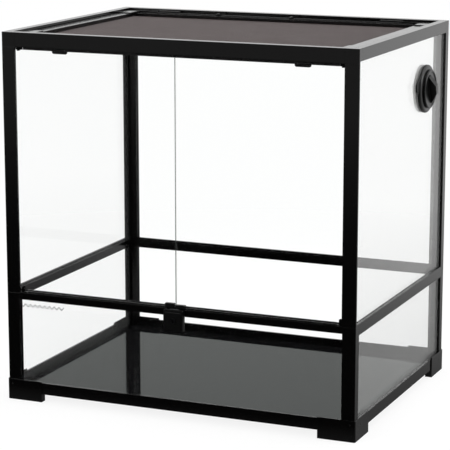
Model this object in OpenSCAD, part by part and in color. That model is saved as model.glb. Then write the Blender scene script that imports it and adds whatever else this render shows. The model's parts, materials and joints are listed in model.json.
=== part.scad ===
// Front-opening glass reptile terrarium in a knock-down plastic frame.
// Millimetres. Origin: centre of the ground under the tank, +X right, +Y back, +Z up.
// The two doors are on the -Y side. In the profiles below, d is a depth measured
// inwards from the frame's outer plane and z is a height above the ground.

/* [Overall] */
// Width over the feet
overall_w = 600; // [480:5:900]
// Depth over the feet
overall_d = 450; // [400:5:700]
// Height over everything
overall_h = 600; // [450:5:900]
// Clearance between pieces that move past each other
gap = 0.3; // [0.2:0.05:0.5]

/* [Glass] */
// Thickness of the side, back and lower front panes
glass = 4; // [3:0.5:4.5]
// Thickness of the dark floor pane
floor_glass = 4; // [3:0.5:5]
// Thickness of the two door panes
door_glass = 4; // [3:0.5:4]
// Play on each face of a pane in its channel
glass_play = 0.3; // [0.1:0.1:0.5]
// Play between a pane's free edge and its channel
edge_play = 1; // [0.5:0.5:2]

/* [Frame profiles] */
// Thickness of the outer flanges
flange = 3.7; // [2.5:0.1:5]
// Thickness of the fins inside the panes
fin = 1.5; // [1:0.1:2]
// Front face width of an upper post
post_face = 23; // [20:0.5:30]
// Front face width of a lower post
lower_post_face = 22; // [19:0.5:30]
// Side face width of a post
post_side = 15; // [13:0.5:24]
// Depth of the rib that holds a side pane in an upper front post
rib_d = 12; // [9:0.5:14]
// Width of that rib
rib_w = 8; // [5:0.5:9]
// Radius of the outer vertical edges
edge_r = 1.2; // [0.4:0.1:2]

/* [Base] */
// How far the feet stand proud of the frame
foot_wrap = 1.6; // [1:0.1:3]
// Underside of the base rails above the ground
base_clear = 13; // [8:0.5:30]
// Height of the base rails
base_rail_h = 19; // [14:0.5:30]
// Width of the ledge under the floor pane
floor_ledge = 14; // [9:0.5:30]
// Thickness of the ledge under the floor pane
floor_ledge_t = 2.5; // [1.5:0.1:4]
// Length of each leg of a foot
foot_leg = 60; // [40:1:80]
// Height of a foot
foot_h = 34.2; // [33.5:0.1:50]
// Depth of the plinth inside a foot
plinth_d = 10; // [8:0.5:20]
// Radius of the pin holes in the feet
foot_pin_r = 1.3; // [0.8:0.1:2]
// Depth of the pin holes in the feet
foot_pin_l = 1; // [0.5:0.1:1.5]
// Pin holes from the outer corner, along the front and along the side
foot_pin_at = [7, 22]; // [5:1:40]
// Pin holes above the ground, in the front and in the side
foot_pin_up = [27, 22]; // [16:1:30]

/* [Middle rails] */
// Underside of the side and back middle rails
mid_level = 165; // [100:1:250]
// Height of the side and back middle rails
mid_rail_h = 18; // [17:0.5:30]
// Seam of the posts above the underside of the middle rails
seam_up = 14; // [10:0.5:15]
// Thickness of the web between the panes
web_t = 3; // [2:0.5:4]
// How much shorter the inner fin is, at the top and at the bottom
fin_short = 2; // [1:0.5:3]
// Underside of the door sill above that of the side rails
sill_up = 3.5; // [0:0.5:5]
// Height of the door sill
sill_h = 11.5; // [11:0.5:16]
// Thickness of the solid top of the door sill
sill_solid = 6; // [5:0.5:8]

/* [Top frame] */
// Height of the side and back top rails
top_rail_h = 19; // [18:0.5:30]
// Height of the front top rail
front_rail_h = 23; // [20:0.5:32]
// Width of the top face of the rails
top_face = 13.5; // [13:0.5:20]
// Thickness of the top plate of the rails
top_plate = 4; // [2:0.5:5]
// Depth of the lid's seat below the top
seat_down = 12; // [11:0.5:13]
// Width of the lid's seat from the outer plane
seat_d = 30; // [24:0.5:36]
// Thickness of the lid's seat
seat_t = 2; // [1.5:0.1:3]

/* [Doors] */
// Thickness of the door stops
stop_t = 2; // [1.5:0.1:3]
// Clearance of the post's door stop from the tail of the door
stop_gap = 1; // [0.5:0.1:1.5]
// Height of the lower door stop above the sill
stop_up = 3.5; // [2:0.5:6]
// Height of the upper door stop below the top rail
stop_down = 5; // [2:0.5:6]
// Gap between a door pane and the sill or the top rail
door_play = 1.5; // [1.2:0.1:2]
// Gap between the two doors
door_seam = 2; // [1:0.1:4]
// Hinge axis to the edge of the post face
hinge_in = 3.6; // [3.4:0.1:5]
// Length of a door pane beyond its hinge axis
door_tail = 5.5; // [4:0.1:6]
// Radius of the hinge knuckles
knuckle_r = 3; // [2.6:0.1:3.1]
// Height of the lower knuckles
knuckle_h = 9; // [6:0.5:16]
// Height of the upper knuckles
top_knuckle_h = 6; // [5:0.5:12]
// Radius of the hinge pins
pin_r = 1.3; // [1:0.1:1.4]
// Radial clearance of the hinge pins
pin_play = 0.05; // [0.02:0.01:0.1]
// Length of the hinge pins
pin_l = 4; // [3:0.5:4.5]
// Width of a door catch
catch_w = 15.8; // [10:0.2:24]
// Height of the left and the right door catch
catch_h = [7, 5.2]; // [4:0.1:10]
// Side face of a door catch from the middle of the seam
catch_in = 1.2; // [1:0.1:2]
// How far the catches stand proud of the frame
catch_out = 1.4; // [1:0.1:2]

/* [Latch] */
// Width of the latch housing
latch_w = 33; // [28:0.5:44]
// Height of the latch housing
latch_h = 34.5; // [32:0.5:44]
// How far the housing stands proud of the frame
latch_out = 8.6; // [8:0.1:12]
// Radius of the housing's corners
latch_r = 2.5; // [1:0.1:4]
// Size of the raised face on the housing
latch_face = [27, 27]; // [20:0.5:28]
// Height of the raised face
latch_face_t = 0.6; // [0.3:0.1:1]
// Centre of the lock below the sill's top
lock_down = 18; // [16:0.5:20]
// Radius of the lock cylinder
lock_r = 4.6; // [4:0.1:5.5]
// How far the lock stands proud of the raised face
lock_out = 0.8; // [0.3:0.1:1.5]
// Radial clearance of the lock cylinder
lock_play = 0.05; // [0.02:0.01:0.1]
// Throw of the bolt
bolt_throw = 5; // [4:0.5:5]
// Locked bolt's top above the sill
bolt_proud = 0.2; // [0:0.1:0.4]
// Width of the bolt
bolt_w = 16; // [14:0.5:20]
// Thickness of the bolt
bolt_t = 2.8; // [2:0.1:3]
// Bolt below its crank slot
bolt_below = 4; // [3:0.5:5]
// Radius of the crank pin on the lock
crank_r = 1.4; // [1:0.1:1.6]
// Clearance round the crank pin in the bolt's slot
crank_play = 0.3; // [0.25:0.05:0.4]
// Keyhole in the lock, across and along
keyhole = [1.2, 5.4]; // [1:0.1:7]
// Depth of the keyhole
keyhole_l = 2.5; // [1:0.5:3]

/* [Lid] */
// Gap between the lid's edge and the top frame
lid_gap = 0.4; // [0.3:0.1:1]
// Height of the lid's rails
lid_h = 7.2; // [6.5:0.1:8]
// Width of the lid's side rails
lid_side_w = 26; // [20:0.5:32]
// Width of the lid's front and back rails
lid_front_w = 13; // [12:0.5:18]
// Corner piece along the front, and along the side
lid_corner = [60, 50]; // [36:1:60]
// Height of the corner pieces above the rails
corner_up = 1.5; // [0.5:0.1:2]
// Thickness of the screen
screen_t = 1; // [0.6:0.1:1.2]
// Screen under the edge of the rails
screen_under = 4; // [2:0.5:6]
// Openings in the screen, across and along
screen_cells = [12, 9]; // [2:1:12]
// Width of the bars between the openings
screen_bar = 3; // [1:0.5:8]
// Width of the strip with the cable openings
strip_w = 18; // [14:0.5:24]
// Thickness of that strip
strip_t = 2; // [1.5:0.1:2.5]

/* [Lid clips] */
// Middle of a clip from the lid's side edge
clip_end = 80.5; // [78:0.5:120]
// Top plate width of the front and of the back clips
clip_top_w = [31, 39]; // [24:0.5:40]
// Top plate depth
clip_top_d = 9.5; // [6:0.5:11]
// Top plate thickness
clip_top_t = 2; // [1.5:0.1:2.2]
// Stem width
clip_stem_w = 12; // [8:0.5:16]
// Stem thickness
clip_stem_t = 3; // [2:0.1:4]
// Front face of the tabs and stems from the lid's edge
clip_in = 1; // [0.5:0.1:2]
// Travel of a clip, towards the middle of its rail
clip_travel = 8; // [5:0.5:9]
// Tab width
clip_tab_w = 26; // [16:0.5:30]
// Gap in the seat beside a tab, on each side
clip_gap = 4; // [1:0.5:4]
// Tab thickness
clip_tab_t = 2.5; // [2:0.1:3]
// Tab height of the front and of the back clips
clip_tab_h = [18.7, 9]; // [8:0.1:24]
// Radius of the tab's corners
clip_tab_r = 3; // [1:0.5:4]

/* [Cable shutters] */
// Left end of the left and of the right shutter, from the inner edge of the lid's left rail
shutter_in = [58.5, 193.5]; // [52:0.5:200]
// Length of a shutter
shutter_l = 96; // [92:1:100]
// Thickness of a shutter
shutter_t = 1.5; // [1:0.1:2]
// Travel of a shutter
shutter_travel = 50; // [20:1:50]
// Overlap of the guides over a shutter
guide_over = 1.5; // [1:0.1:2]
// Thickness of the guides
guide_t = 1.2; // [1:0.1:1.5]
// Length of a cable opening
cable_l = 44; // [20:1:44]
// Width of a cable opening
cable_w = 10; // [6:0.5:12]
// Height of a shutter's finger tick
tick_h = 5; // [3:0.5:6]
// Thickness of a shutter's finger tick
tick_t = 2; // [1.5:0.1:3]

/* [Side port] */
// Middle of the port from the frame's back face
port_back = 112.4; // [60:0.1:200]
// Middle of the port below the top
port_down = 100.5; // [62:0.5:250]
// Radius of the outer ring
ring_r = 39; // [34:0.5:48]
// Height of the outer ring at its seat for the cap
ring_t = 6; // [4:0.5:8]
// Thickness of the outer ring at its rim
ring_rim_t = 2.5; // [2:0.1:4]
// Ring's seat beyond the edge of the cap
ring_margin = 1; // [0.5:0.1:2]
// Radius of the ring's ear
ear_r = 9.5; // [6:0.5:12]
// Ear from the middle of the port, forwards and up
ear_at = [42, 7]; // [0:0.5:50]
// Radius of the hole in the pane
port_hole_r = 30; // [26:0.5:32]
// Wall of the sleeve through the pane
sleeve_wall = 2.5; // [2:0.1:4]
// Radius of the nut ring inside the pane
nut_r = 38.5; // [34:0.5:44]
// Clearance of the nut ring on the sleeve
nut_play = 0.1; // [0.05:0.05:0.2]
// Thickness of the nut ring
nut_t = 4; // [3:0.5:4]
// Radius of the twist cap
cap_r = 31.5; // [30:0.5:34]
// Thickness of the twist cap's disc at its rim
cap_t = 4; // [3.5:0.5:6]
// Width of the disc's raised rim
cap_rim = 3; // [2:0.5:5]
// Depth of the dish inside the rim
cap_dish = 1.5; // [0.5:0.1:2]
// Height of the step under the disc's edge
cap_step = 1; // [0.5:0.1:1.5]
// Chamfer round the disc's face
cap_chamfer = 0.8; // [0.2:0.1:1.2]
// Length of the finger bar at its foot
bar_l = 46; // [30:1:50]
// Length of the finger bar at its tip
bar_tip = 14; // [8:1:24]
// Height of the finger bar's ends above the dish
bar_foot = 1.5; // [0.5:0.1:3]
// Thickness of the finger bar
bar_t = 10; // [6:0.5:12]
// Tip of the finger bar beyond the frame's side
bar_out = 16.5; // [12:0.5:24]
// Angle of the finger bar from upright
bar_angle = 20; // [0:1:45]

/* [Hidden] */
$fn = 48;
eps = 0.01;
x_out = overall_w / 2 - foot_wrap;
y_out = overall_d / 2 - foot_wrap;
z_top = overall_h;
pane_d = flange + glass_play;
fin_d = pane_d + glass + glass_play;
fin_end = fin_d + fin;
floor_z = base_clear + floor_ledge_t;
floor_top = floor_z + floor_glass;
seam_z = mid_level + seam_up;
web_z = seam_z - web_t;
mid_top = mid_level + mid_rail_h;
sill_z = mid_level + sill_up;
sill_top = sill_z + sill_h;
rail_z = z_top - top_rail_h;
front_z = z_top - front_rail_h;
plate_z = z_top - top_plate;
seat_z = z_top - seat_down;
post_x = x_out - post_face;
low_x = x_out - lower_post_face;
post_y = y_out - post_side;
pane_half_x = x_out - fin_end - edge_play;
pane_half_y = y_out - fin_end - edge_play;
seat_x = x_out - seat_d;
door_mid = pane_d + door_glass / 2;
door_y = -y_out + door_mid;
hinge_x = post_x - hinge_in;
door_z = sill_top + door_play;
door_z1 = front_z - door_play;
stop_d = pane_d + door_glass + glass_play;
solid_d = stop_d + stop_t;
stop_x = hinge_x - door_tail - stop_gap;
front_y = -y_out;
pane_front_y = front_y + pane_d;
low_front_z = sill_top - sill_solid - edge_play;
low_side_z = web_z - edge_play;
high_pane_z = plate_z - edge_play;
latch_front = front_y - latch_out;
latch_z = sill_top - latch_h;
lock_z = sill_top - lock_down;
catch_y = front_y - catch_out;
bolt_y1 = catch_y - gap;
bolt_y0 = bolt_y1 - bolt_t;
lock_back = bolt_y0 - gap;
crank_arm = bolt_throw / sqrt(2);
crank_z = lock_z - bolt_throw / 2;
bolt_top = sill_top + bolt_proud;
lid_x = x_out - top_face - lid_gap;
lid_y = y_out - top_face - lid_gap;
lid_z = seat_z + gap;
lid_top = lid_z + lid_h;
screen_z = lid_z + screen_t;
lid_in_x = lid_x - lid_side_w;
lid_in_y = lid_y - lid_front_w;
strip_y = lid_in_y - strip_w;
strip_z = screen_z + strip_t;
shut_z = strip_z + gap;
guide_z = shut_z + shutter_t + gap;
shut_y0 = strip_y + guide_t + gap;
shut_y1 = lid_in_y - gap;
function shutter_x(i) = shutter_in[i] - lid_in_x;
clip_x = lid_x - clip_end;
clip_y = lid_y - clip_in;
seat_gap = clip_tab_w + 2 * clip_gap;
port_pane_x = x_out - pane_d;
port_y = y_out - port_back;
port_z = z_top - port_down;
sleeve_r = port_hole_r - gap;
nut_x = port_pane_x - glass - nut_t;
plug_r = sleeve_r - sleeve_wall - gap;
cap_x = port_pane_x + ring_t + gap;
dish_x = cap_x + cap_t - cap_dish;
ring_seat_r = cap_r + ring_margin;
FRAME_C = [0.05, 0.05, 0.05];
GLASS_C = [0.8, 0.88, 0.88, 0.3];
LID_C = [0.08, 0.08, 0.08];

// ---- shared shapes -------------------------------------------------------

// Rectangle between two corners.
module rect(a, b) {
    translate(a) square([b[0] - a[0], b[1] - a[1]]);
}

// Block between two corners.
module block(a, b) {
    translate(a) cube([b[0] - a[0], b[1] - a[1], b[2] - a[2]]);
}

// What a rounded corner at the origin takes away from a square one.
module corner_waste(r) {
    difference() {
        rect([-eps, -eps], [r, r]);
        translate([r, r]) circle(r);
    }
}

// Rectangle with all four corners rounded.
module soft_rect(a, b, r) {
    difference() {
        rect(a, b);
        translate(a) corner_waste(r);
        translate([b[0], a[1]]) mirror([1, 0]) corner_waste(r);
        translate([a[0], b[1]]) mirror([0, 1]) corner_waste(r);
        translate(b) rotate(180) corner_waste(r);
    }
}

// A corner drawn from its outer edge, put at the corner on side (sx, sy).
module at_corner(sx, sy) {
    translate([sx * x_out, sy * y_out, 0])
        mirror([sx > 0 ? 1 : 0, 0, 0])
        mirror([0, sy > 0 ? 1 : 0, 0])
        children();
}

// A (d, z) profile run along X on the front or back, between two ends.
module along_x(sy, x0, x1) {
    translate([x0, sy * y_out, 0])
        mirror([0, sy > 0 ? 1 : 0, 0])
        rotate([90, 0, 90])
        linear_extrude(x1 - x0)
        children();
}

// A (d, z) profile run along Y on the left or right, between two ends.
module along_y(sx, y0, y1) {
    translate([sx * x_out, y1, 0])
        mirror([sx > 0 ? 1 : 0, 0, 0])
        rotate([90, 0, 0])
        linear_extrude(y1 - y0)
        children();
}

// ---- base ----------------------------------------------------------------

module floor_panel() {
    color([0.03, 0.03, 0.03])
        block([-x_out + fin_end + glass_play, -y_out + fin_end + glass_play, floor_z],
              [x_out - fin_end - glass_play, y_out - fin_end - glass_play, floor_top]);
}

module base_profile() {
    rect([0, base_clear], [flange, base_clear + base_rail_h]);
    rect([flange, base_clear], [flange + floor_ledge, floor_z]);
    rect([fin_d, floor_z], [fin_end, floor_top]);
}

module base_rail_x(sy) {
    color(FRAME_C) along_x(sy, -low_x, low_x) base_profile();
}

module base_rail_y(sx) {
    color(FRAME_C) along_y(sx, -post_y, post_y) base_profile();
}

module foot(sx, sy) {
    color(FRAME_C) at_corner(sx, sy) difference() {
        union() {
            linear_extrude(foot_h) difference() {
                rect([-foot_wrap, -foot_wrap], [foot_leg, foot_leg]);
                translate([-foot_wrap, -foot_wrap]) corner_waste(edge_r + foot_wrap);
                difference() {
                    rect([0, 0], [foot_leg + eps, foot_leg + eps]);
                    corner_waste(edge_r);
                }
            }
            linear_extrude(base_clear) difference() {
                rect([0, 0], [foot_leg, foot_leg]);
                corner_waste(edge_r);
                rect([plinth_d, plinth_d], [foot_leg + eps, foot_leg + eps]);
            }
        }
        translate([foot_pin_at[0], -foot_wrap - eps, foot_pin_up[0]]) rotate([-90, 0, 0])
            cylinder(r = foot_pin_r, h = foot_pin_l + eps);
        translate([-foot_wrap - eps, foot_pin_at[1], foot_pin_up[1]]) rotate([0, 90, 0])
            cylinder(r = foot_pin_r, h = foot_pin_l + eps);
    }
}

// ---- posts ---------------------------------------------------------------

// Channelled corner profile: outer angle, core and a fin behind each pane.
module post_profile(face) {
    difference() {
        union() {
            rect([0, 0], [face, flange]);
            rect([0, 0], [flange, post_side]);
            rect([flange - eps, flange - eps], [fin_end, fin_end]);
            rect([fin_d, fin_end - eps], [fin_end, post_side]);
            rect([fin_end - eps, fin_d], [face, fin_end]);
        }
        corner_waste(edge_r);
    }
}

// Profile of an upper front post: a face plate and a rib behind the side pane.
module front_post_profile() {
    difference() {
        union() {
            rect([0, 0], [post_face, flange]);
            rect([fin_d, flange - eps], [fin_d + rib_w, rib_d]);
        }
        corner_waste(edge_r);
    }
}

module lower_post(sx, sy) {
    color(FRAME_C) at_corner(sx, sy) translate([0, 0, base_clear])
        linear_extrude(seam_z - base_clear) post_profile(lower_post_face);
}

module upper_post_front(sx) {
    color(FRAME_C) at_corner(sx, -1) translate([0, 0, seam_z])
        linear_extrude(front_z - seam_z) front_post_profile();
}

module upper_post_back(sx) {
    color(FRAME_C) at_corner(sx, 1) translate([0, 0, seam_z])
        linear_extrude(rail_z - seam_z) post_profile(post_face);
}

// ---- panes ---------------------------------------------------------------

// Pane in the front or back wall, between two heights.
module pane_x(sy, z0, z1) {
    color(GLASS_C) along_x(sy, -pane_half_x, pane_half_x)
        rect([pane_d, z0], [pane_d + glass, z1]);
}

// Pane in the left or right wall, from a front edge and between two heights.
module pane_y(sx, y0, z0, z1) {
    color(GLASS_C) along_y(sx, y0, pane_half_y)
        rect([pane_d, z0], [pane_d + glass, z1]);
}

module upper_pane_right() {
    difference() {
        pane_y(1, pane_front_y, seam_z, high_pane_z);
        translate([x_out - fin_d, port_y, port_z]) rotate([0, 90, 0])
            cylinder(r = port_hole_r, h = glass + 4 * glass_play);
    }
}

// ---- middle rails --------------------------------------------------------

module mid_profile() {
    rect([0, mid_level], [flange, mid_top]);
    rect([flange - eps, web_z], [fin_end, seam_z]);
    rect([fin_d, mid_level + fin_short], [fin_end, mid_top - fin_short]);
}

module mid_rail_back() {
    color(FRAME_C) {
        along_x(1, -low_x, low_x) intersection() {
            mid_profile();
            rect([0, mid_level], [fin_end, seam_z]);
        }
        along_x(1, -post_x, post_x) intersection() {
            mid_profile();
            rect([0, seam_z - eps], [fin_end, mid_top]);
        }
    }
}

module mid_rail_y(sx) {
    color(FRAME_C) {
        along_y(sx, -post_y, post_y) mid_profile();
        along_y(sx, front_y + flange, -post_y + eps) rect([0, seam_z], [flange, mid_top]);
    }
}

module door_sill() {
    color(FRAME_C) difference() {
        union() {
            along_x(-1, -low_x, low_x) {
                rect([0, sill_z], [flange, seam_z]);
                rect([flange - eps, sill_top - sill_solid], [solid_d, seam_z]);
                rect([fin_d, sill_z], [fin_end, seam_z]);
            }
            along_x(-1, -post_x, post_x) rect([0, seam_z - eps], [solid_d, sill_top]);
            along_x(-1, -stop_x, stop_x)
                rect([stop_d, sill_top - eps], [solid_d, sill_top + stop_up]);
        }
        for (s = [-1, 1])
            translate([s * hinge_x, door_y, sill_top - pin_l - gap])
                cylinder(r = pin_r + pin_play, h = pin_l + 2);
    }
}

// ---- top frame -----------------------------------------------------------

module top_profile() {
    rect([0, rail_z], [flange, z_top]);
    rect([flange - eps, plate_z], [top_face, z_top]);
    rect([fin_d, seat_z - seat_t], [fin_end, plate_z + eps]);
}

// Three strips that carry the lid on the front or back, with a gap for each clip.
module lid_seat(sy, d0) {
    ends = [-seat_x, -clip_x - seat_gap / 2, -clip_x + seat_gap / 2,
            clip_x - seat_gap / 2, clip_x + seat_gap / 2, seat_x];
    color(FRAME_C) for (i = [0, 2, 4])
        along_x(sy, ends[i], ends[i + 1]) rect([d0, seat_z - seat_t], [seat_d, seat_z]);
}

module top_rail_front() {
    color(FRAME_C) difference() {
        union() {
            along_x(-1, -post_x, post_x) {
                rect([0, front_z], [solid_d, z_top]);
                rect([solid_d - eps, plate_z], [top_face, z_top]);
            }
            along_x(-1, -stop_x, stop_x)
                rect([stop_d, front_z - stop_down], [solid_d, front_z + eps]);
        }
        for (s = [-1, 1])
            translate([s * hinge_x, door_y, front_z - 2])
                cylinder(r = pin_r + pin_play, h = pin_l + gap + 2);
    }
}

module top_rail_back() {
    color(FRAME_C) along_x(1, -post_x, post_x) top_profile();
}

module top_rail_y(sx) {
    color(FRAME_C) along_y(sx, -post_y, post_y) {
        top_profile();
        rect([fin_end - eps, seat_z - seat_t], [seat_d, seat_z]);
    }
}

// Solid cap over a post, as far in as the rails' top face.
module corner_cap() {
    translate([0, 0, plate_z]) linear_extrude(top_plate) difference() {
        rect([0, 0], [post_face, post_side]);
        corner_waste(edge_r);
        rect([top_face, top_face], [post_face + eps, post_side + eps]);
    }
}

module top_corner_front(sx) {
    at_corner(sx, -1) {
        translate([0, 0, front_z]) linear_extrude(plate_z - front_z + eps) front_post_profile();
        block([0, flange - eps, rail_z], [flange, post_side, plate_z + eps]);
        corner_cap();
    }
}

module top_corner_back(sx) {
    at_corner(sx, 1) {
        translate([0, 0, rail_z]) linear_extrude(plate_z - rail_z + eps) post_profile(post_face);
        corner_cap();
    }
}

// The four corner pieces of the top frame.
module top_corners() {
    color(FRAME_C) for (s = [-1, 1]) {
        top_corner_front(s);
        top_corner_back(s);
    }
}

// ---- latch ---------------------------------------------------------------

module latch_housing() {
    color(LID_C) difference() {
        union() {
            translate([0, front_y, 0]) rotate([90, 0, 0]) linear_extrude(latch_out)
                soft_rect([-latch_w / 2, latch_z], [latch_w / 2, sill_top], latch_r);
            block([-latch_w / 2 + latch_r, front_y - eps, latch_z + latch_r],
                  [latch_w / 2 - latch_r, front_y + pane_d, sill_z - glass_play]);
            translate([0, latch_front + eps, 0]) rotate([90, 0, 0])
                linear_extrude(latch_face_t + eps)
                soft_rect([-latch_face[0] / 2, lock_z - latch_face[1] / 2],
                          [latch_face[0] / 2, lock_z + latch_face[1] / 2], latch_r);
        }
        block([-bolt_w / 2 - gap, lock_back, crank_z - crank_r - crank_play - bolt_below - gap],
              [bolt_w / 2 + gap, bolt_y1 + gap, sill_top + 1]);
        translate([0, lock_back + eps, lock_z]) rotate([90, 0, 0])
            cylinder(r = lock_r + lock_play, h = latch_out + latch_face_t);
    }
}

module lock_cylinder() {
    color([0.6, 0.6, 0.62]) difference() {
        union() {
            translate([0, lock_back, lock_z]) rotate([90, 0, 0])
                cylinder(r = lock_r, h = lock_back - latch_front + latch_face_t + lock_out);
            translate([crank_arm / sqrt(2), bolt_y1, crank_z]) rotate([90, 0, 0])
                cylinder(r = crank_r, h = bolt_y1 - lock_back + eps);
        }
        block([-keyhole[0] / 2, latch_front - latch_face_t - lock_out - eps, lock_z - keyhole[1] / 2],
              [keyhole[0] / 2, latch_front - latch_face_t - lock_out + keyhole_l,
               lock_z + keyhole[1] / 2]);
    }
}

module latch_bolt() {
    color([0.5, 0.5, 0.52]) difference() {
        block([-bolt_w / 2, bolt_y0, crank_z - crank_r - crank_play - bolt_below],
              [bolt_w / 2, bolt_y1, bolt_top]);
        block([crank_arm / sqrt(2) - crank_r - crank_play, bolt_y0 - 1,
               crank_z - crank_r - crank_play],
              [crank_arm + crank_r + crank_play, bolt_y1 + 1, crank_z + crank_r + crank_play]);
    }
}

// ---- doors ---------------------------------------------------------------

module door_pane(s) {
    x0 = min(s * door_seam / 2, s * (hinge_x + door_tail));
    x1 = max(s * door_seam / 2, s * (hinge_x + door_tail));
    color(GLASS_C)
        block([x0, door_y - door_glass / 2, door_z], [x1, door_y + door_glass / 2, door_z1]);
}

// Two round knuckles gripping a door pane on its hinge axis, each with a pin.
module hinge_shoes(s) {
    color(LID_C) translate([s * hinge_x, door_y, 0]) {
        difference() {
            union() {
                translate([0, 0, sill_top + gap]) cylinder(r = knuckle_r, h = knuckle_h);
                translate([0, 0, front_z - gap - top_knuckle_h])
                    cylinder(r = knuckle_r, h = top_knuckle_h);
            }
            block([-knuckle_r - 1, -door_glass / 2, door_z],
                  [knuckle_r + 1, door_glass / 2, door_z1]);
        }
        translate([0, 0, sill_top + gap - pin_l]) cylinder(r = pin_r, h = pin_l + eps);
        translate([0, 0, front_z - gap - eps]) cylinder(r = pin_r, h = pin_l + eps);
    }
}

module door_catch(s, h) {
    x0 = min(s * catch_in, s * (catch_in + catch_w));
    color(LID_C) translate([0, door_y - door_glass / 2, 0]) rotate([90, 0, 0])
        linear_extrude(door_y - door_glass / 2 - catch_y)
        soft_rect([x0, door_z], [x0 + catch_w, door_z + h], 1);
}

// ---- lid -----------------------------------------------------------------

// Room for the edge of the screen under the rails.
module screen_room() {
    block([-lid_in_x - screen_under, -lid_in_y - screen_under, lid_z - 1],
          [lid_in_x + screen_under, strip_y + screen_under, screen_z]);
}

// What a clip's stem needs cut out of the lid's edge.
module stem_notches(sy) {
    for (s = [-1, 1])
        mirror([s > 0 ? 0 : 1, 0, 0]) mirror([0, sy > 0 ? 0 : 1, 0])
            block([clip_x - clip_stem_w / 2 - clip_travel - gap, clip_y - clip_stem_t - gap, lid_z - 1],
                  [clip_x + clip_stem_w / 2 + gap, lid_y + 1, lid_top + 1]);
}

module lid_rail_front() {
    color(LID_C) difference() {
        block([-lid_x + lid_corner[0], -lid_y, lid_z], [lid_x - lid_corner[0], -lid_in_y, lid_top]);
        screen_room();
        stem_notches(-1);
    }
}

module lid_rail_back() {
    color(LID_C) difference() {
        union() {
            block([-lid_x + lid_corner[0], lid_in_y, lid_z], [lid_x - lid_corner[0], lid_y, lid_top]);
            block([-lid_in_x, strip_y, lid_z], [lid_in_x, lid_in_y, strip_z]);
            block([-lid_in_x, strip_y, strip_z - eps],
                  [lid_in_x, strip_y + guide_t, guide_z + guide_t]);
            block([-lid_in_x, strip_y, guide_z],
                  [lid_in_x, shut_y0 + guide_over, guide_z + guide_t]);
            block([-lid_in_x, shut_y1 - guide_over, guide_z],
                  [lid_in_x, lid_in_y, guide_z + guide_t]);
        }
        screen_room();
        stem_notches(1);
        for (i = [0, 1])
            translate([shutter_x(i) + shutter_l / 2 + (i == 0 ? 1 : -1) * shutter_l / 4,
                       (shut_y0 + shut_y1) / 2, strip_z])
                cube([cable_l, cable_w, 4 * strip_t], center = true);
    }
}

module lid_rail_y(s) {
    x0 = min(s * lid_in_x, s * lid_x);
    color(LID_C) difference() {
        block([x0, -lid_y + lid_corner[1], lid_z],
              [x0 + lid_side_w, lid_y - lid_corner[1], lid_top]);
        screen_room();
    }
}

// The four corner pieces of the lid.
module lid_corners() {
    color(LID_C) difference() {
        for (sx = [-1, 1], sy = [-1, 1])
            mirror([sx > 0 ? 1 : 0, 0, 0]) mirror([0, sy > 0 ? 1 : 0, 0])
                translate([-lid_x, -lid_y, lid_z])
                linear_extrude(lid_h + corner_up) difference() {
                    soft_rect([0, 0], [lid_corner[0], lid_corner[1]], 1);
                    rect([lid_side_w, lid_front_w], [lid_corner[0] + 1, lid_corner[1] + 1]);
                }
        screen_room();
    }
}

// Screen with a plain grid of openings inside its border under the rails.
module lid_screen() {
    cell = [(2 * lid_in_x + screen_bar) / screen_cells[0],
            (lid_in_y + strip_y + screen_bar) / screen_cells[1]];
    color([0.25, 0.25, 0.25]) difference() {
        block([-lid_in_x - screen_under + gap, -lid_in_y - screen_under + gap, lid_z],
              [lid_in_x + screen_under - gap, strip_y + screen_under - gap, screen_z]);
        for (i = [0 : screen_cells[0] - 1], j = [0 : screen_cells[1] - 1])
            translate([-lid_in_x + i * cell[0], -lid_in_y + j * cell[1], lid_z - 1])
                cube([cell[0] - screen_bar, cell[1] - screen_bar, screen_t + 2]);
    }
}

// Clip drawn for the front, released; i picks front or back sizes.
module clip_shape(i) {
    tab_z = seat_z - seat_t - gap;
    block([-clip_top_w[i] / 2, -clip_y - gap, lid_top + gap],
          [clip_top_w[i] / 2, -clip_y - gap + clip_top_d, lid_top + gap + clip_top_t]);
    block([-clip_stem_w / 2, -clip_y, tab_z - clip_tab_r],
          [clip_stem_w / 2, -clip_y + clip_stem_t, lid_top + gap + eps]);
    translate([0, -clip_y + clip_tab_t, 0]) rotate([90, 0, 0]) linear_extrude(clip_tab_t)
        soft_rect([-clip_tab_w / 2, tab_z - clip_tab_h[i]], [clip_tab_w / 2, tab_z], clip_tab_r);
}

module lid_clip(sx, sy) {
    color([0.1, 0.1, 0.1]) translate([sx * clip_x, 0, 0])
        mirror([0, sy > 0 ? 1 : 0, 0]) clip_shape(sy > 0 ? 1 : 0);
}

module shutter(i) {
    x0 = shutter_x(i);
    color([0.1, 0.1, 0.1]) {
        block([x0, shut_y0, shut_z], [x0 + shutter_l, shut_y1, shut_z + shutter_t]);
        block([x0 + shutter_l - tick_t, shut_y0 + guide_over + gap, shut_z + shutter_t - eps],
              [x0 + shutter_l, shut_y1 - guide_over - gap, shut_z + shutter_t + tick_h]);
    }
}

// ---- side port -----------------------------------------------------------

// Drawn about the port's axis: +Z here points out of the tank.
module at_port(x) {
    translate([x, port_y, port_z]) rotate([0, 90, 0]) children();
}

// Ring's section: a flat seat under the cap, then a round shoulder down to the rim.
function ring_section() = concat(
    [[0, 0], [ring_r, 0]],
    [for (a = [0 : 15 : 90])
        [ring_seat_r + (ring_r - ring_seat_r) * cos(a), ring_rim_t + (ring_t - ring_rim_t) * sin(a)]],
    [[0, ring_t]]);

// Hanging ear with a neck that widens to the ring.
module port_ear() {
    linear_extrude(ring_rim_t) {
        translate([-ear_at[1], -ear_at[0]]) circle(r = ear_r);
        polygon([[-ear_at[1] - ear_r, -ear_at[0]], [-ear_at[1] + ear_r, -ear_at[0]],
                 [-ear_at[1] + 2 * ear_r, -sleeve_r], [-ear_at[1] - 2 * ear_r, -sleeve_r]]);
    }
}

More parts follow.
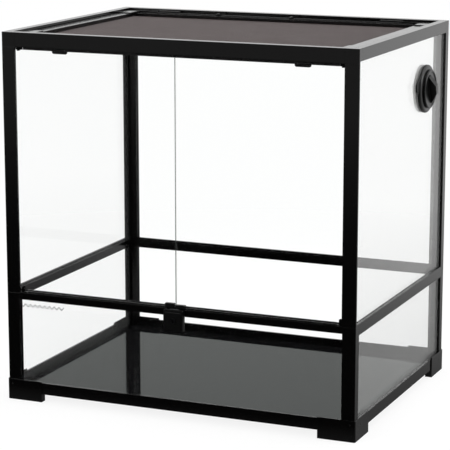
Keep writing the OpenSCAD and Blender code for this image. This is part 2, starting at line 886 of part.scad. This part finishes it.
module port_flange() {
    color(FRAME_C) at_port(port_pane_x) difference() {
        union() {
            rotate_extrude($fn = 96) polygon(ring_section());
            port_ear();
            translate([0, 0, nut_x - port_pane_x])
                cylinder(r = sleeve_r, h = port_pane_x - nut_x + eps, $fn = 96);
        }
        translate([0, 0, nut_x - port_pane_x - 1])
            cylinder(r = sleeve_r - sleeve_wall, h = ring_t + port_pane_x - nut_x + 2, $fn = 96);
    }
}

module port_nut() {
    color(FRAME_C) at_port(nut_x) difference() {
        cylinder(r = nut_r, h = nut_t, $fn = 96);
        translate([0, 0, -1]) cylinder(r = sleeve_r + nut_play, h = nut_t + 2, $fn = 96);
    }
}

// Cap's disc: a step under its edge, chamfered rim and a dish.
function cap_section() = [
    [0, 0], [cap_r - cap_step, 0], [cap_r - cap_step, cap_step], [cap_r, cap_step],
    [cap_r, cap_t - cap_chamfer], [cap_r - cap_chamfer, cap_t], [cap_r - cap_rim, cap_t],
    [cap_r - cap_rim - cap_dish, cap_t - cap_dish], [0, cap_t - cap_dish]];

// Finger bar: steep ends, flat tip, drawn from the dish outwards.
function bar_outline(h) = [
    [-bar_l / 2, -eps], [bar_l / 2, -eps], [bar_l / 2, bar_foot], [bar_tip / 2, h],
    [-bar_tip / 2, h], [-bar_l / 2, bar_foot]];

module port_cap() {
    color([0.12, 0.12, 0.12]) {
        at_port(nut_x) cylinder(r = plug_r, h = cap_x - nut_x + eps, $fn = 96);
        at_port(cap_x) rotate_extrude($fn = 96) polygon(cap_section());
        at_port(dish_x) rotate([0, 0, bar_angle]) rotate([90, 0, 0])
            translate([0, 0, -bar_t / 2]) linear_extrude(bar_t)
            polygon(bar_outline(x_out + bar_out - dish_x));
    }
}

// ---- assembly ------------------------------------------------------------

floor_panel();
base_rail_x(-1);  // base_rail_front
base_rail_x(1);  // base_rail_back
base_rail_y(-1);  // base_rail_left
base_rail_y(1);  // base_rail_right
foot(-1, -1);  // foot_front_left
foot(1, -1);  // foot_front_right
foot(-1, 1);  // foot_back_left
foot(1, 1);  // foot_back_right
lower_post(-1, -1);  // lower_post_front_left
lower_post(1, -1);  // lower_post_front_right
lower_post(-1, 1);  // lower_post_back_left
lower_post(1, 1);  // lower_post_back_right
pane_x(-1, floor_z, low_front_z);  // lower_pane_front
pane_x(1, floor_z, low_side_z);  // lower_pane_back
pane_y(-1, -pane_half_y, floor_z, low_side_z);  // lower_pane_left
pane_y(1, -pane_half_y, floor_z, low_side_z);  // lower_pane_right
door_sill();
mid_rail_back();
mid_rail_y(-1);  // mid_rail_left
mid_rail_y(1);  // mid_rail_right
upper_post_front(-1);  // upper_post_front_left
upper_post_front(1);  // upper_post_front_right
upper_post_back(-1);  // upper_post_back_left
upper_post_back(1);  // upper_post_back_right
pane_x(1, seam_z, high_pane_z);  // upper_pane_back
pane_y(-1, pane_front_y, seam_z, high_pane_z);  // upper_pane_left
upper_pane_right();
top_rail_front();
top_rail_back();
top_rail_y(-1);  // top_rail_left
top_rail_y(1);  // top_rail_right
top_corners();
lid_seat(-1, solid_d);  // lid_seat_front
lid_seat(1, fin_end);  // lid_seat_back
latch_housing();
lock_cylinder();
latch_bolt();
door_pane(-1);  // door_glass_left
door_pane(1);  // door_glass_right
hinge_shoes(-1);  // hinge_shoes_left
hinge_shoes(1);  // hinge_shoes_right
door_catch(-1, catch_h[0]);  // door_catch_left
door_catch(1, catch_h[1]);  // door_catch_right
lid_rail_front();
lid_rail_back();
lid_rail_y(-1);  // lid_rail_left
lid_rail_y(1);  // lid_rail_right
lid_corners();
lid_screen();
lid_clip(-1, -1);  // lid_clip_front_left
lid_clip(1, -1);  // lid_clip_front_right
lid_clip(-1, 1);  // lid_clip_back_left
lid_clip(1, 1);  // lid_clip_back_right
shutter(0);  // shutter_left
shutter(1);  // shutter_right
port_flange();
port_nut();
port_cap();
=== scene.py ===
"""Looks of the reptile terrarium: finishes, wire screen, small trim, set and camera around the CAD frame."""

import json
import math

import bpy
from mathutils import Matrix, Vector


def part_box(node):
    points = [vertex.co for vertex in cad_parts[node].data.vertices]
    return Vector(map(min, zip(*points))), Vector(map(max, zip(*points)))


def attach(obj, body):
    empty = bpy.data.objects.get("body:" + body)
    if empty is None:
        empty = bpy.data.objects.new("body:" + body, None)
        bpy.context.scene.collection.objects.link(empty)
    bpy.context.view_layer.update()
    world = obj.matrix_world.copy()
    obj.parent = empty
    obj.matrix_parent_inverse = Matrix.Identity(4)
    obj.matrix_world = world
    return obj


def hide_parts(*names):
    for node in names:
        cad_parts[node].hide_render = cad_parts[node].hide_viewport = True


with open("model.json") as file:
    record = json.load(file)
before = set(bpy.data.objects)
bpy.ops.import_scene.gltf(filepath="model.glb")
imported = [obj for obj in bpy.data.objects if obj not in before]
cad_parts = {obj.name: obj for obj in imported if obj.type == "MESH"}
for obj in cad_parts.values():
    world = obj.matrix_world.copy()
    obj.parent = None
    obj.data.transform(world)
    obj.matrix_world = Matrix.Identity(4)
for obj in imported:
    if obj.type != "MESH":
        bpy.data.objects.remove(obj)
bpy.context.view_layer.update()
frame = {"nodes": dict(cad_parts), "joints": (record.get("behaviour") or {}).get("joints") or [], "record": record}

MM = 0.001
WHITE = (1.0, 1.0, 1.0, 1.0)


# ---- node trees -------------------------------------------------------------


class Tree:
    """A node tree that is filled with add() and wired by giving one node's socket to the next."""

    def __init__(self, tree):
        self.tree = tree
        tree.nodes.clear()

    def add(self, kind, options=None, **inputs):
        """A new node with its options set and its inputs fed by values or by other nodes' sockets.

        An input goes by its name, with _ for a space, or by its number after an i, as in i0.
        """
        node = self.tree.nodes.new("ShaderNode" + kind)
        for key, value in (options or {}).items():
            setattr(node, key, value)
        for key, value in inputs.items():
            numbered = key[0] == "i" and key[1:].isdigit()
            socket = node.inputs[int(key[1:]) if numbered else key.replace("_", " ")]
            if isinstance(value, bpy.types.NodeSocket):
                self.tree.links.new(value, socket)
            else:
                socket.default_value = value
        return node

    def out(self, kind, options=None, **inputs):
        """The first output of a new node."""
        return self.add(kind, options, **inputs).outputs[0]

    def math(self, operation, a, b, clamp=False):
        """The result of one arithmetic node."""
        return self.out("Math", {"operation": operation, "use_clamp": clamp}, i0=a, i1=b)

    def mix(self, factor, first, second):
        """A mix of two shaders."""
        return self.out("MixShader", i0=factor, i1=first, i2=second)

    def stretch(self, value, ends, levels=(0.0, 1.0), smooth=False):
        """A value that goes from one level to the other between two ends, and stays level beyond them."""
        kind = "SMOOTHSTEP" if smooth else "LINEAR"
        return self.out("MapRange", {"interpolation_type": kind}, Value=value, From_Min=ends[0],
                        From_Max=ends[1], To_Min=levels[0], To_Max=levels[1])

    def spread(self, value, low, high):
        """A 0 to 1 value stretched to another range."""
        return self.stretch(value, (0.0, 1.0), (low, high))

    def noise(self, scale, detail=2.0):
        """A 3-D noise in object space, so that it rides with its piece."""
        place = self.add("TexCoord").outputs["Object"]
        return self.out("TexNoise", Vector=place, Scale=scale, Detail=detail)

    def seen_straight(self):
        """1 for what the eye sees, straight or through glass, and 0 for light and reflections."""
        path = self.add("LightPath").outputs
        return self.math("MAXIMUM", path["Is Camera Ray"], path["Is Transmission Ray"])

    def finish(self, kind, surface):
        """The tree's output node."""
        self.add("Output" + kind, Surface=surface)


def new_material(name):
    """An empty material and its tree."""
    material = bpy.data.materials.new(name)
    material.use_nodes = True
    return material, Tree(material.node_tree)


def grey(level):
    """A neutral colour."""
    return (level, level, level, 1.0)


# ---- finishes: noise scales are in cells a metre, colours are linear --------

PLASTIC_IOR = 1.5
GLASS_IOR = 1.5

# moulded plastic: its fine grain, its rounded edges and its broad patches of duller and brighter sheen
GRAIN_SCALE = 900.0
GRAIN_BUMP = 0.08
GRAIN_DEPTH = 0.05 * MM
SOFT_EDGE = 1.0 * MM
SHEEN_SCALE = 35.0
SHEEN_PLAY = 0.04

# clear panes
HEAD_ON = 0.04  # what a face mirrors when seen head-on, which is left out
FILM_SHARE = 0.42  # share of the mirroring that a thin pale film on the glass turns to a veil
FILM_COLOUR = (0.95, 0.95, 0.94, 1.0)
PANE_TINT = (0.997, 0.999, 0.998, 1.0)
PANE_SHADOW = (0.93, 0.94, 0.94, 1.0)
PANE_ROUGH = 0.02
EDGE_TINT = (0.28, 0.30, 0.29, 1.0)
EDGE_GLOSS = 0.55
EDGE_ROUGH = 0.15

# floor panel
PANEL_BODY = (0.006, 0.006, 0.0065, 1.0)
PANEL_MIRROR = (0.445, 0.465, 0.455, 1.0)
PANEL_ROUGH = 0.035
RIPPLE_SCALE = 60.0

# metal
BRUSH_LENGTH = 20  # of a brushing line, times its width
BRUSH_DEPTH = 0.02 * MM


def plastic(name, base, rough, shine=0.36):
    """Moulded plastic: fine grain, uneven sheen and slightly softened edges."""
    material, t = new_material(name)
    soft = t.out("Bevel", {"samples": 4}, Radius=SOFT_EDGE)
    grain = t.noise(GRAIN_SCALE)
    relief = t.out("Bump", Strength=GRAIN_BUMP, Distance=GRAIN_DEPTH, Height=grain, Normal=soft)
    sheen = t.spread(t.noise(SHEEN_SCALE, detail=4.0), rough - SHEEN_PLAY, rough + SHEEN_PLAY)
    shader = t.out("BsdfPrincipled", Base_Color=(*base, 1.0), Roughness=sheen, IOR=PLASTIC_IOR,
                   Specular_IOR_Level=shine, Normal=relief)
    t.finish("Material", shader)
    return material


def clear_glass(name, mirror=0.95):
    """Thin flat glass: clear faces that mirror more at a slant and bear a thin pale film, and grey edges."""
    material, t = new_material(name)
    back = t.add("NewGeometry").outputs["Backfacing"]
    slant = t.out("Fresnel", IOR=t.spread(back, GLASS_IOR, 1 / GLASS_IOR))
    shine = t.math("MULTIPLY", t.math("SUBTRACT", slant, HEAD_ON), mirror, clamp=True)
    clear = t.out("BsdfTransparent", Color=PANE_TINT)
    gloss = t.out("BsdfGlossy", Color=WHITE, Roughness=PANE_ROUGH)
    film = t.out("BsdfDiffuse", Color=FILM_COLOUR)
    face = t.mix(shine, clear, t.mix(FILM_SHARE, gloss, film))
    rim = t.mix(EDGE_GLOSS, t.out("BsdfTransparent", Color=EDGE_TINT),
                t.out("BsdfGlossy", Color=EDGE_TINT, Roughness=EDGE_ROUGH))
    on_edge = t.add("Attribute", {"attribute_name": "pane_edge", "attribute_type": "GEOMETRY"}).outputs["Fac"]
    outer_edge = t.math("MULTIPLY", on_edge, t.math("SUBTRACT", 1.0, back))
    seen = t.mix(outer_edge, face, rim)
    pass_light = t.out("BsdfTransparent", Color=PANE_SHADOW)
    t.finish("Material", t.mix(t.add("LightPath").outputs["Is Shadow Ray"], seen, pass_light))
    return material


def dark_glass(name):
    """The floor panel: black-backed glass with a dimmed mirror face."""
    material, t = new_material(name)
    ripple = t.out("Bump", Strength=0.02, Distance=0.02 * MM, Height=t.noise(RIPPLE_SCALE))
    body = t.out("BsdfDiffuse", Color=PANEL_BODY)
    gloss = t.out("BsdfGlossy", Color=PANEL_MIRROR, Roughness=PANEL_ROUGH, Normal=ripple)
    t.finish("Material", t.mix(t.out("Fresnel", IOR=GLASS_IOR), body, gloss))
    return material


def metal(name, base, smoothest, roughest, grain):
    """Turned or pressed metal with a faint uneven brushing along Z."""
    material, t = new_material(name)
    place = t.add("TexCoord").outputs["Object"]
    stretched = t.out("Mapping", Vector=place, Scale=(grain, grain, grain / BRUSH_LENGTH))
    lines = t.out("TexNoise", Vector=stretched, Scale=1.0, Detail=3.0)
    relief = t.out("Bump", Strength=0.1, Distance=BRUSH_DEPTH, Height=lines)
    shader = t.out("BsdfPrincipled", Base_Color=(*base, 1.0), Metallic=1.0,
                   Roughness=t.spread(lines, smoothest, roughest), Normal=relief)
    t.finish("Material", shader)
    return material


def painted_wire(name):
    """Dark coated wire of the screen."""
    material, t = new_material(name)
    wear = t.spread(t.noise(25.0, detail=3.0), 0.45, 0.6)
    paint = (0.134, 0.109, 0.107, 1.0)
    t.finish("Material", t.out("BsdfPrincipled", Base_Color=paint, Roughness=wear, IOR=PLASTIC_IOR))
    return material


def printed(name):
    """Dark matt print on the glass."""
    material, t = new_material(name)
    shade = t.spread(t.noise(400.0), 0.015, 0.03)
    colour = t.out("CombineColor", Red=shade, Green=shade, Blue=shade)
    t.finish("Material", t.out("BsdfPrincipled", Base_Color=colour, Roughness=0.6))
    return material


# ---- meshes -----------------------------------------------------------------


def mesh_object(name, points, faces, material, smooth=False):
    """An object built from points and faces."""
    mesh = bpy.data.meshes.new(name)
    mesh.from_pydata([tuple(p) for p in points], [], faces)
    mesh.validate()
    mesh.update()
    if smooth:
        mesh.polygons.foreach_set("use_smooth", [True] * len(mesh.polygons))
    mesh.materials.append(material)
    obj = bpy.data.objects.new(name, mesh)
    bpy.context.scene.collection.objects.link(obj)
    return obj


def add_bar(points, faces, start, end, radius, sides=6):
    """Adds a closed level bar between two points."""
    first = len(points)
    axis = (Vector(end) - Vector(start)).normalized()
    u = Vector((0, 0, 1))
    v = axis.cross(u)
    for centre in (Vector(start), Vector(end)):
        for k in range(sides):
            a = 2 * math.pi * (k + 0.5) / sides
            points.append(centre + radius * (math.cos(a) * u + math.sin(a) * v))
    for k in range(sides):
        n = (k + 1) % sides
        faces.append((first + k, first + n, first + sides + n, first + sides + k))
    faces.append(tuple(first + k for k in reversed(range(sides))))
    faces.append(tuple(first + sides + k for k in range(sides)))


def wire_places(low, high):
    """Middles of the wires that lie side by side between two edges of the screen."""
    count = int((high - low) / WIRE_PITCH)
    first = low + WIRE_RADIUS
    last = high - WIRE_RADIUS
    return [first + (last - first) * i / count for i in range(count + 1)]


def wire_screen(name, lo, hi, material):
    """Two crossing layers of thin straight wires that fill the plan of the plain screen."""
    points, faces = [], []
    z_low = lo.z + WIRE_LIFT
    z_high = z_low + 2 * WIRE_RADIUS
    for y in wire_places(lo.y, hi.y):
        add_bar(points, faces, (lo.x, y, z_low), (hi.x, y, z_low), WIRE_RADIUS)
    for x in wire_places(lo.x, hi.x):
        add_bar(points, faces, (x, lo.y, z_high), (x, hi.y, z_high), WIRE_RADIUS)
    return mesh_object(name, points, faces, material)


def stud(name, centre, outward, radius, depth, material, steps=5, sides=24):
    """A small pin sunk in a face that looks outward, with a flat middle and a rounded rim."""
    flat = 0.55 * radius
    crown = 0.35 * depth  # height of the rounded rim
    sunk = 0.05 * depth  # from the face down to the flat middle
    axis = Vector(outward)
    u = axis.orthogonal().normalized()
    v = axis.cross(u)
    rings = [(radius, -depth)]
    for i in range(steps + 1):
        a = 0.5 * math.pi * i / steps
        rings.append((flat + (radius - flat) * math.cos(a), crown * (math.sin(a) - 1) - sunk))
    points, faces = [], []
    for r, out in rings:
        for k in range(sides):
            a = 2 * math.pi * k / sides
            points.append(Vector(centre) + axis * out + r * (math.cos(a) * u + math.sin(a) * v))
    for ring in range(len(rings) - 1):
        for k in range(sides):
            a, b = ring * sides + k, ring * sides + (k + 1) % sides
            faces.append((a, b, b + sides, a + sides))
    faces.append(tuple(reversed(range(sides))))
    faces.append(tuple(range((len(rings) - 1) * sides, len(rings) * sides)))
    return mesh_object(name, points, faces, material, smooth=True)


def zigzag(name, start, size, teeth, width, thick, material):
    """A printed zigzag line that stands out by its thickness in front of a face that looks to -Y.

    Start is the top left corner of its box on that face, and size the box's width and height.
    """
    points, faces = [], []
    count = 2 * teeth
    for i in range(count + 1):
        x = start.x + size[0] * i / count
        z = start.z - size[1] * (i % 2)
        for y in (start.y, start.y - thick):
            points += [(x, y, z - width / 2), (x, y, z + width / 2)]
    for i in range(count):
        a, b = 4 * i, 4 * i + 4
        faces += [(a, b, b + 1, a + 1), (a + 2, a + 3, b + 3, b + 2),
                  (a, a + 2, b + 2, b), (a + 1, b + 1, b + 3, a + 3)]
    last = 4 * count
    faces += [(0, 1, 3, 2), (last, last + 2, last + 3, last + 1)]
    return mesh_object(name, points, faces, material)


def clamp_plate(name, lo, hi, material, corner=0.5 * MM, chamfer=0.4 * MM, steps=4):
    """A small flat plate in the XZ plane with round corners and a chamfered back edge."""
    centres = ((hi.x - corner, hi.z - corner), (lo.x + corner, hi.z - corner),
               (lo.x + corner, lo.z + corner), (hi.x - corner, lo.z + corner))
    points, faces = [], []
    for y, inset in ((lo.y, 0.0), (hi.y - chamfer, 0.0), (hi.y, chamfer)):
        for quarter, (x, z) in enumerate(centres):
            for i in range(steps + 1):
                a = 0.5 * math.pi * (quarter + i / steps)
                points.append((x + (corner - inset) * math.cos(a), y, z + (corner - inset) * math.sin(a)))
    count = len(points) // 3
    for ring in range(2):
        for k in range(count):
            a, b = ring * count + k, ring * count + (k + 1) % count
            faces.append((a, a + count, b + count, b))
    faces.append(tuple(range(count)))
    faces.append(tuple(reversed(range(2 * count, 3 * count))))
    return mesh_object(name, points, faces, material)


# ---- the object -------------------------------------------------------------

FINISH = {
    "black_plastic": plastic("black_plastic", (0.0021, 0.0020, 0.0020), 0.15),
    "lid_plastic": plastic("lid_plastic", (0.0034, 0.0031, 0.0031), 0.15, shine=0.5),
    "satin_plastic": plastic("satin_plastic", (0.0032, 0.0032, 0.0033), 0.34),
    "hinge_plastic": plastic("hinge_plastic", (0.0016, 0.0016, 0.0016), 0.55, shine=0.12),
    "port_plastic": plastic("port_plastic", (0.0046, 0.0048, 0.0046), 0.34, shine=0.45),
    "pale_plastic": plastic("pale_plastic", (0.80, 0.80, 0.79), 0.45, shine=0.5),
    "glass": clear_glass("glass"),
    "side_glass": clear_glass("side_glass", mirror=1.3),
    "floor_glass": dark_glass("floor_glass"),
    "screen": painted_wire("screen"),
    "lock_metal": metal("lock_metal", (0.10, 0.10, 0.105), 0.22, 0.36, grain=900.0),
    "bolt_steel": metal("bolt_steel", (0.52, 0.52, 0.54), 0.28, 0.42, grain=700.0),
    "level_print": printed("level_print"),
}

# nodes whose finish differs from that of their material slot in the record
OWN_FINISH = {
    "hinge_shoes_left": "hinge_plastic",
    "hinge_shoes_right": "hinge_plastic",
    "port_flange": "port_plastic",
    "port_nut": "pale_plastic",
    "upper_pane_right": "side_glass",
    "lower_pane_right": "side_glass",
}

# the wires that stand for the plain screen
WIRE_PITCH = 2.0 * MM
WIRE_RADIUS = 0.17 * MM
WIRE_LIFT = 0.30 * MM  # of the lower layer's middle above the plain screen's underside

# pins in the dimples of the feet, one in each outer face, placed from the frame's corner inside the foot
FOOT_WALL = 1.6 * MM
PIN_RADIUS = 1.22 * MM
PIN_DEPTH = 0.95 * MM
END_PIN_ALONG = 7 * MM
SIDE_PIN_ALONG = 22 * MM
END_PIN_UP = 27 * MM
SIDE_PIN_UP = 22 * MM

# clamp plates behind the door panes at the hinges, no higher than the door stops beside them
PLATE_REACH = 5.9 * MM  # to each side of the hinge's axis
PLATE_THICK = 1.2 * MM
PLATE_GAP = 0.3 * MM  # to the rail and the sill
DOOR_PLAY = 1.5 * MM  # between the door pane and the rail or the sill
STOP_DOWN = 5.0 * MM  # height of the stop under the rail
STOP_UP = 3.5 * MM  # height of the stop on the sill

# the level mark on the lower front pane, placed from the left end and the underside of the sill
MARK_IN = 0.4 * MM
MARK_DOWN = 7.6 * MM
MARK_SIZE = (78 * MM, 5 * MM)
MARK_TEETH = 9
MARK_LINE = 1.6 * MM
MARK_THICK = 0.05 * MM


def mark_pane_edges(node):
    """Stores on a pane's mesh which faces are its narrow edges, for the glass finish."""
    lo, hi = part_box(node.name)
    size = hi - lo
    thin = min(range(3), key=lambda axis: size[axis])
    face_on = 0.9  # the least share of a normal along the thickness that makes a broad face
    values = [0.0 if abs(p.normal[thin]) > face_on else 1.0 for p in node.data.polygons]
    layer = node.data.attributes.new("pane_edge", "FLOAT", "FACE")
    layer.data.foreach_set("value", values)


def dress_nodes():
    """Gives each CAD node its finish."""
    slot = {part["node"]: part["material_slot"] for part in frame["record"]["subparts"]}
    for name, node in frame["nodes"].items():
        node.data.materials.clear()
        node.data.materials.append(FINISH[OWN_FINISH.get(name, slot[name])])
        if slot[name] == "glass":
            mark_pane_edges(node)


def fine_screen():
    """The wires that stand for the plain screen."""
    screen = wire_screen("wire_screen", *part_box("lid_screen"), FINISH["screen"])
    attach(screen, "lid")
    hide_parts("lid_screen")


def foot_pins():
    """Two pins in each foot."""
    for side_y, sy in (("front", -1), ("back", 1)):
        for side_x, sx in (("left", -1), ("right", 1)):
            lo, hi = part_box(f"foot_{side_y}_{side_x}")
            outer_x = hi.x if sx > 0 else lo.x
            outer_y = hi.y if sy > 0 else lo.y
            end_x = outer_x - sx * (FOOT_WALL + END_PIN_ALONG)
            side_pin_y = outer_y - sy * (FOOT_WALL + SIDE_PIN_ALONG)
            for label, centre, outward in (
                ("end", (end_x, outer_y, END_PIN_UP), (0, sy, 0)),
                ("side", (outer_x, side_pin_y, SIDE_PIN_UP), (sx, 0, 0)),
            ):
                pin = stud(f"foot_pin_{label}_{side_y}_{side_x}", centre, outward, PIN_RADIUS, PIN_DEPTH,
                           FINISH["satin_plastic"])
                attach(pin, "tank")


def hinge_plates():
    """A plate at the top and at the foot of each door."""
    axis_of = {joint["child"]: joint["pos_m"] for joint in frame["joints"] if "pos_m" in joint}
    for side in ("left", "right"):
        pane_lo, pane_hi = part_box(f"door_glass_{side}")
        axis_x = axis_of[f"door_{side}"][0]
        rail = pane_hi.z + DOOR_PLAY
        sill = pane_lo.z - DOOR_PLAY
        for level, low, high in (("top", rail - STOP_DOWN, rail - PLATE_GAP),
                                 ("low", sill + PLATE_GAP, sill + STOP_UP)):
            plate = clamp_plate(f"hinge_plate_{level}_{side}",
                                Vector((axis_x - PLATE_REACH, pane_hi.y, low)),
                                Vector((axis_x + PLATE_REACH, pane_hi.y + PLATE_THICK, high)),
                                FINISH["hinge_plastic"])
            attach(plate, f"door_{side}")


def level_mark():
    """The printed line on the lower front pane."""
    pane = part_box("lower_pane_front")[0]
    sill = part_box("door_sill")[0]
    start = Vector((sill.x + MARK_IN, pane.y, sill.z - MARK_DOWN))
    mark = zigzag("level_mark", start, MARK_SIZE, MARK_TEETH, MARK_LINE, MARK_THICK, FINISH["level_print"])
    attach(mark, "tank")


dress_nodes()
fine_screen()
foot_pins()
hinge_plates()
level_mark()


# ---- the set ----------------------------------------------------------------

# the floor itself, just below the feet
FLOOR_HALF = 14.0
FLOOR_DROP = 0.1 * MM
FLOOR_GREY = 0.8  # its own shade, which the lamps' light meets

# the floor for the eye: near the object a glow and a share that takes its shadow, and further out white
FADE_TO_WHITE = (0.6, 1.5)
NEAR_GLOW = 0.87
NEAR_SHADE = 0.17

# the floor in reflections glows with painted light and shade: behind a line in front of the object it is a painted
# shade, dim under it and pale further out, and before that line it is painted black and turns grey further out
FRONT_LINE = (-0.30, -0.20)
BACK_FADE = (0.3, 1.77)
BACK_LEVELS = (0.19, 1.0)
FRONT_FADE = (-0.4, -3.2)
FRONT_LEVELS = (0.0, 0.70)
FRONT_CURVE = 3.0

# the room: its strength as a light, and its brightness in reflections from the front to the back
ROOM_LIGHT = 0.45
ROOM_FADE = (-0.5, 0.1)
ROOM_LEVELS = (0.03, 1.0)


def white_floor():
    """A wide pale floor that keeps the object's shadow and runs out to white, and in reflections glows with
    painted shade.
    """
    material, t = new_material("floor_white")
    place = t.add("TexCoord").outputs["Object"]
    reach = t.add("VectorMath", {"operation": "LENGTH"}, i0=place).outputs["Value"]
    depth = t.add("SeparateXYZ", Vector=place).outputs["Y"]

    # painted shade of the floor in reflections: dim under the object and pale further out behind it, black in
    # front of it and grey further out
    behind = t.stretch(depth, FRONT_LINE)
    painted_shade_behind = t.stretch(reach, BACK_FADE, BACK_LEVELS)
    painted_dark_in_front = t.math("POWER", t.stretch(depth, FRONT_FADE, FRONT_LEVELS), FRONT_CURVE)
    level = t.out("Mix", i0=behind, i2=painted_dark_in_front, i3=painted_shade_behind)
    mirrored = t.out("Emission", Color=WHITE, Strength=level)

    near = t.out("AddShader", i0=t.out("Emission", Color=WHITE, Strength=NEAR_GLOW),
                 i1=t.out("BsdfDiffuse", Color=grey(NEAR_SHADE)))
    white = t.out("Emission", Color=WHITE, Strength=1.0)
    to_eye = t.mix(t.stretch(reach, FADE_TO_WHITE, smooth=True), near, white)

    own = t.out("BsdfDiffuse", Color=grey(FLOOR_GREY))
    to_rest = t.mix(t.add("LightPath").outputs["Is Glossy Ray"], own, mirrored)
    t.finish("Material", t.mix(t.seen_straight(), to_rest, to_eye))

    corners = [(x * FLOOR_HALF, y * FLOOR_HALF, -FLOOR_DROP) for x, y in ((-1, -1), (1, -1), (1, 1), (-1, 1))]
    mesh_object("floor", corners, [(0, 1, 2, 3)], material)


def studio_world():
    """White around the object for the eye, and in reflections white behind it and dim in front."""
    world = bpy.data.worlds.new("studio")
    bpy.context.scene.world = world
    world.use_nodes = True
    world.cycles.sampling_method = "NONE"
    t = Tree(world.node_tree)
    direction = t.add("TexCoord").outputs["Generated"]
    backward = t.add("SeparateXYZ", Vector=direction).outputs["Y"]
    light = t.out("Background", Color=WHITE, Strength=ROOM_LIGHT)
    level = t.stretch(backward, ROOM_FADE, ROOM_LEVELS, smooth=True)
    mirrored = t.out("Background", Color=WHITE, Strength=level)
    white = t.out("Background", Color=WHITE, Strength=1.0)
    to_rest = t.mix(t.add("LightPath").outputs["Is Glossy Ray"], light, mirrored)
    t.finish("World", t.mix(t.seen_straight(), to_rest, white))


def softbox(name, place, target, size, power):
    """A square area lamp aimed at a point."""
    lamp = bpy.data.lights.new(name, "AREA")
    lamp.shape = "SQUARE"
    lamp.size = size
    lamp.energy = power
    obj = bpy.data.objects.new(name, lamp)
    obj.location = place
    obj.rotation_euler = (Vector(target) - Vector(place)).to_track_quat("-Z", "Y").to_euler()
    obj.visible_camera = False
    bpy.context.scene.collection.objects.link(obj)


def front_camera(place, down, turn, lens):
    """The camera, looking along +Y turned to the left and down by angles in degrees."""
    camera = bpy.data.objects.new("camera", bpy.data.cameras.new("camera"))
    camera.location = place
    camera.rotation_euler = (math.radians(90 - down), 0, math.radians(turn))
    camera.data.sensor_width = 36.0
    camera.data.lens = lens
    camera.data.clip_end = 60.0
    bpy.context.scene.collection.objects.link(camera)
    bpy.context.scene.camera = camera


white_floor()
studio_world()
softbox("overhead", place=(0.2, 0.3, 2.6), target=(0, 0, 0.3), size=1.8, power=26.0)
softbox("front_fill", place=(-1.6, -2.2, 1.6), target=(0, 0, 0.35), size=1.4, power=22.0)
softbox("right_side", place=(2.4, 0.6, 1.4), target=(0, 0, 0.4), size=1.2, power=19.0)
front_camera(place=(1.244, -2.929, 0.934), down=11.774, turn=23.195, lens=157.4)
bpy.context.scene.view_settings.view_transform = "Standard"
bpy.context.scene.cycles.transparent_max_bounces = 32
